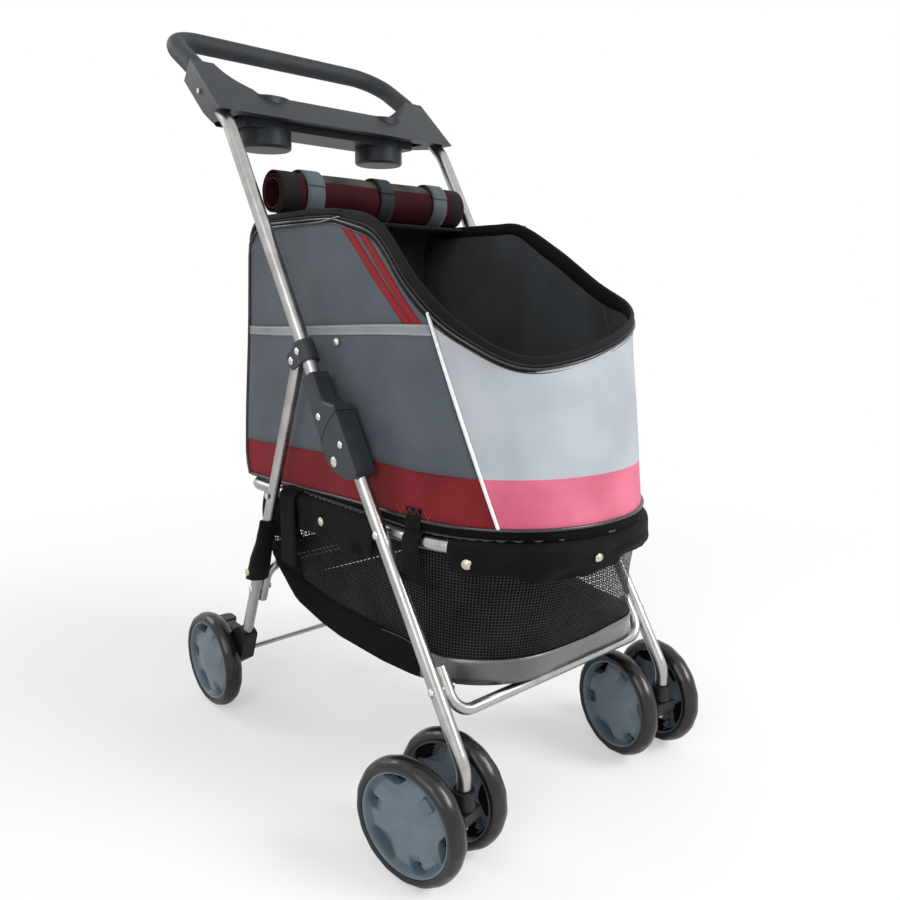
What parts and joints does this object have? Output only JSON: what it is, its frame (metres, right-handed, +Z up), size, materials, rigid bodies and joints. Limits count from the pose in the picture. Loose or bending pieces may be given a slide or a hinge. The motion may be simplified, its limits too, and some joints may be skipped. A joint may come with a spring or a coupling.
{
  "type": "pet stroller",
  "caption": "Folding pet stroller with a soft carrier on a ring tube, mesh basket, cup tray handle, twin swivel casters and braked rear wheels.",
  "frame": {"origin": "bottom centre of the whole stroller's bounding box, on the floor", "axes": "+Z up, -Y the way the stroller is pushed, +X the stroller's left side"},
  "size_m": [0.5238, 0.7208, 1.025],
  "materials": {
    "frame_tube": "satin",
    "grip_foam": "matt foam",
    "tray_plastic": "fine grain",
    "joint_plastic": "fine grain",
    "foot_plastic": "fine grain",
    "pedal_plastic": "fine grain",
    "caster_plastic": "fine grain",
    "rivet_steel": "polished",
    "axle_steel": "ground",
    "rim_plastic": "satin",
    "tyre": "matt",
    "carrier_fabric": "plain weave",
    "binding_fabric": "plain weave",
    "board": "matt",
    "pad_fabric": "quilted",
    "roll_fabric": "plain weave",
    "webbing": "webbing",
    "pocket_fabric": "plain weave",
    "basket_mesh": "mesh"
  },
  "bodies": {
    "front_frame": {"front_leg_left": "frame_tube", "front_leg_right": "frame_tube", "lower_fold_housing_left": "joint_plastic", "lower_fold_housing_right": "joint_plastic", "front_cross_tube": "frame_tube", "front_frame_rivets": "rivet_steel", "fold_pins": "rivet_steel", "ring_bolts": "rivet_steel", "caster_socket_left": "caster_plastic", "caster_socket_right": "caster_plastic"},
    "handle": {"handle_tube": "frame_tube", "grip": "grip_foam", "cup_tray": "tray_plastic", "tray_screws": "rivet_steel", "upper_fold_housing_left": "joint_plastic", "upper_fold_housing_right": "joint_plastic", "rear_leg_bracket_left": "joint_plastic", "rear_leg_bracket_right": "joint_plastic", "handle_rivets": "rivet_steel", "rear_leg_pins": "rivet_steel"},
    "rear_frame": {"rear_leg_left": "frame_tube", "rear_leg_right": "frame_tube", "rear_cross_tube": "frame_tube", "rear_frame_bolts": "rivet_steel", "rear_foot_left": "foot_plastic", "rear_foot_right": "foot_plastic", "rear_axle": "axle_steel"},
    "carrier": {"ring_tube": "frame_tube", "base_board": "board", "carrier_shell": "carrier_fabric", "opening_binding": "binding_fabric", "cover_roll": "roll_fabric", "cover_straps": "webbing", "side_pockets": "pocket_fabric", "floor_pad": "pad_fabric", "basket": "basket_mesh", "basket_hems": "webbing"},
    "brake_left": {"brake_pedal_left": "pedal_plastic"},
    "rear_wheel_left": {"rear_tyre_left": "tyre", "rear_rim_left": "rim_plastic"},
    "caster_left": {"caster_housing_left": "caster_plastic", "caster_stem_left": "axle_steel", "front_axle_left": "axle_steel"},
    "front_outer_wheel_left": {"front_outer_tyre_left": "tyre", "front_outer_rim_left": "rim_plastic"},
    "front_inner_wheel_left": {"front_inner_tyre_left": "tyre", "front_inner_rim_left": "rim_plastic"},
    "brake_right": {"brake_pedal_right": "pedal_plastic"},
    "rear_wheel_right": {"rear_tyre_right": "tyre", "rear_rim_right": "rim_plastic"},
    "caster_right": {"caster_housing_right": "caster_plastic", "caster_stem_right": "axle_steel", "front_axle_right": "axle_steel"},
    "front_outer_wheel_right": {"front_outer_tyre_right": "tyre", "front_outer_rim_right": "rim_plastic"},
    "front_inner_wheel_right": {"front_inner_tyre_right": "tyre", "front_inner_rim_right": "rim_plastic"}
  },
  "joints": [
    {"name": "fold", "type": "hinge", "parent": "front_frame", "child": "handle", "pos_m": [0, -0.0905, 0.447], "axis": [-1, 0, 0], "range_deg": [0, 116], "deforming": ["basket"]},
    {"name": "rear_leg_hinge", "type": "hinge", "parent": "handle", "child": "rear_frame", "pos_m": [0, 0.00481, 0.56193], "axis": [1, 0, 0], "range_deg": [0, 64.4]},
    {"name": "ring_hinge", "type": "hinge", "parent": "front_frame", "child": "carrier", "pos_m": [0, -0.16672, 0.371], "axis": [-1, 0, 0], "range_deg": [0, 77.6]},
    {"name": "brake_left_press", "type": "hinge", "parent": "rear_frame", "child": "brake_left", "pos_m": [0.1697, 0.2205, 0.104], "axis": [-1, 0, 0], "range_deg": [0, 18]},
    {"name": "rear_wheel_left_spin", "type": "hinge", "parent": "rear_frame", "child": "rear_wheel_left", "pos_m": [0.2135, 0.2455, 0.075], "axis": [1, 0, 0], "continuous": true},
    {"name": "caster_left_swivel", "type": "hinge", "parent": "front_frame", "child": "caster_left", "pos_m": [0.189, -0.3145, 0.1], "axis": [0, 0, 1], "continuous": true},
    {"name": "front_outer_left_spin", "type": "hinge", "parent": "caster_left", "child": "front_outer_wheel_left", "pos_m": [0.23587, -0.27777, 0.075], "axis": [0.9816, -0.1908, 0], "continuous": true},
    {"name": "front_inner_left_spin", "type": "hinge", "parent": "caster_left", "child": "front_inner_wheel_left", "pos_m": [0.1593, -0.26288, 0.075], "axis": [0.9816, -0.1908, 0], "continuous": true},
    {"name": "brake_right_press", "type": "hinge", "parent": "rear_frame", "child": "brake_right", "pos_m": [-0.1697, 0.2205, 0.104], "axis": [-1, 0, 0], "range_deg": [0, 18]},
    {"name": "rear_wheel_right_spin", "type": "hinge", "parent": "rear_frame", "child": "rear_wheel_right", "pos_m": [-0.2135, 0.2455, 0.075], "axis": [1, 0, 0], "continuous": true},
    {"name": "caster_right_swivel", "type": "hinge", "parent": "front_frame", "child": "caster_right", "pos_m": [-0.189, -0.3145, 0.1], "axis": [0, 0, 1], "continuous": true},
    {"name": "front_outer_right_spin", "type": "hinge", "parent": "caster_right", "child": "front_outer_wheel_right", "pos_m": [-0.23587, -0.27777, 0.075], "axis": [0.9816, 0.1908, 0], "continuous": true},
    {"name": "front_inner_right_spin", "type": "hinge", "parent": "caster_right", "child": "front_inner_wheel_right", "pos_m": [-0.1593, -0.26288, 0.075], "axis": [0.9816, 0.1908, 0], "continuous": true}
  ],
  "couplings": [
    {"joint": "rear_leg_hinge", "follows": "fold", "ratio": 0.5543},
    {"joint": "ring_hinge", "follows": "fold", "ratio": 0.6677}
  ]
}
